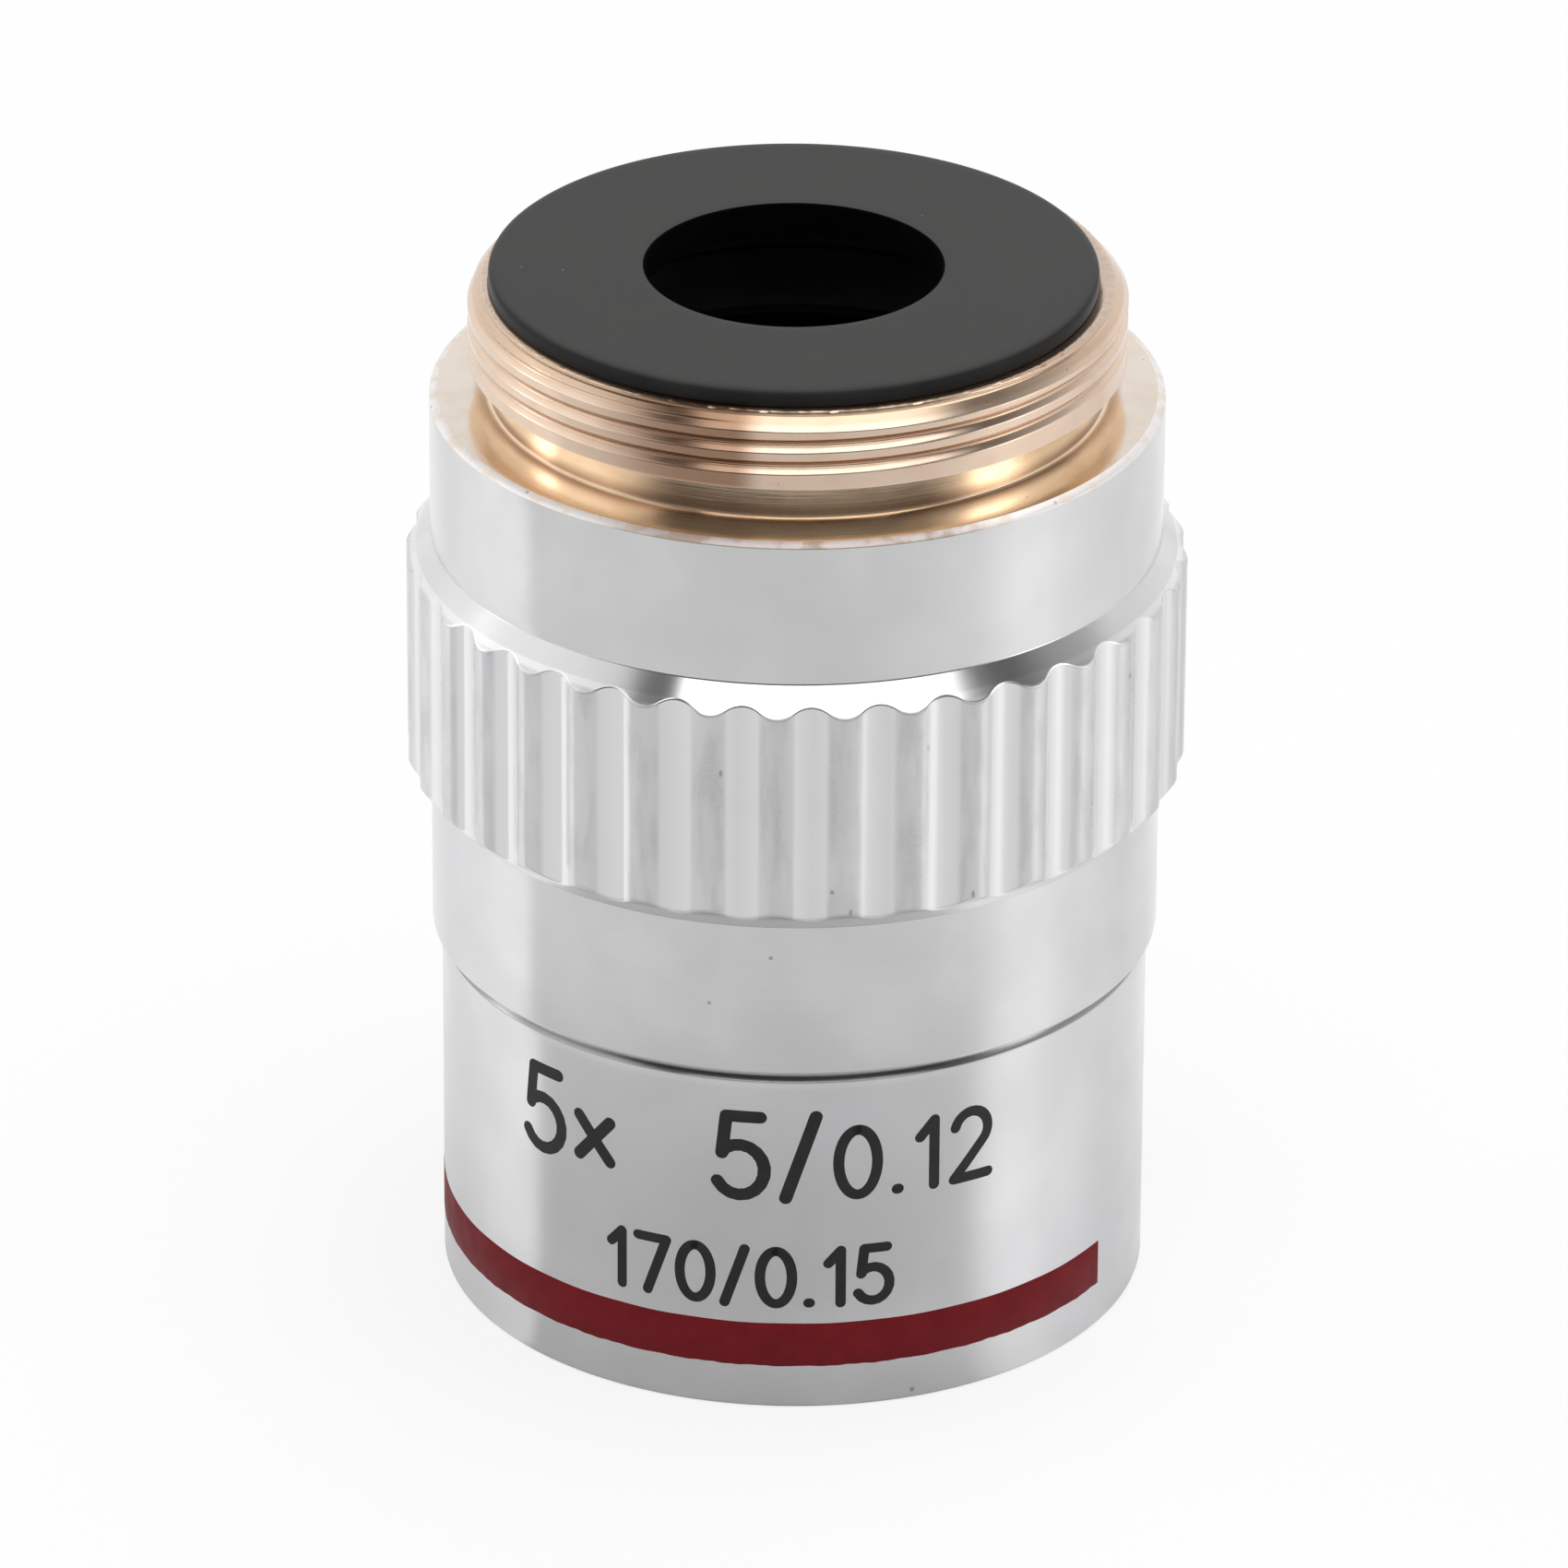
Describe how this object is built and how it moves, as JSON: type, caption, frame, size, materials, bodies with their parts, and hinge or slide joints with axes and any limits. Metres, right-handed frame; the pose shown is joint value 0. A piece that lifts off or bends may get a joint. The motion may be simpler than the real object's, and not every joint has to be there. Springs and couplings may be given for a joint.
{
  "type": "microscope objective",
  "caption": "Low-power microscope objective: plated cylinder with a brass mounting thread, black rear stop, fluted grip and a marked sleeve with a red band.",
  "frame": {"origin": "on the optical axis, in the plane of the front rim that the part stands on", "axes": "+Z along the optical axis, from the front lens towards the mounting thread; -Y faces the marking"},
  "size_m": [0.0242, 0.0242, 0.0339],
  "materials": {
    "satin_chrome": "satin chrome plating over turned brass, bare brass at the thread and shoulder",
    "black_anodised": "matt black anodised",
    "blackened_brass": "matt black oxide over turned brass",
    "plain_brass": "turned brass",
    "crown_glass": "polished, coated",
    "flint_glass": "polished, coated"
  },
  "bodies": {
    "root": {"mount_body": "satin_chrome", "front_sleeve": "satin_chrome", "rear_stop": "black_anodised", "lens_barrel": "blackened_brass", "parfocal_shim": "plain_brass", "barrel_lock_ring": "plain_brass", "front_cell": "blackened_brass", "front_lens": "flint_glass", "front_lens_ring": "blackened_brass", "lower_spacer": "blackened_brass", "middle_cell": "blackened_brass", "middle_lens": "crown_glass", "middle_lens_ring": "blackened_brass", "upper_spacer": "blackened_brass", "aperture_stop": "blackened_brass", "rear_cell": "blackened_brass", "rear_crown_lens": "crown_glass", "rear_flint_lens": "flint_glass", "rear_lens_ring": "blackened_brass", "stack_ring": "blackened_brass"}
  },
  "joints": []
}
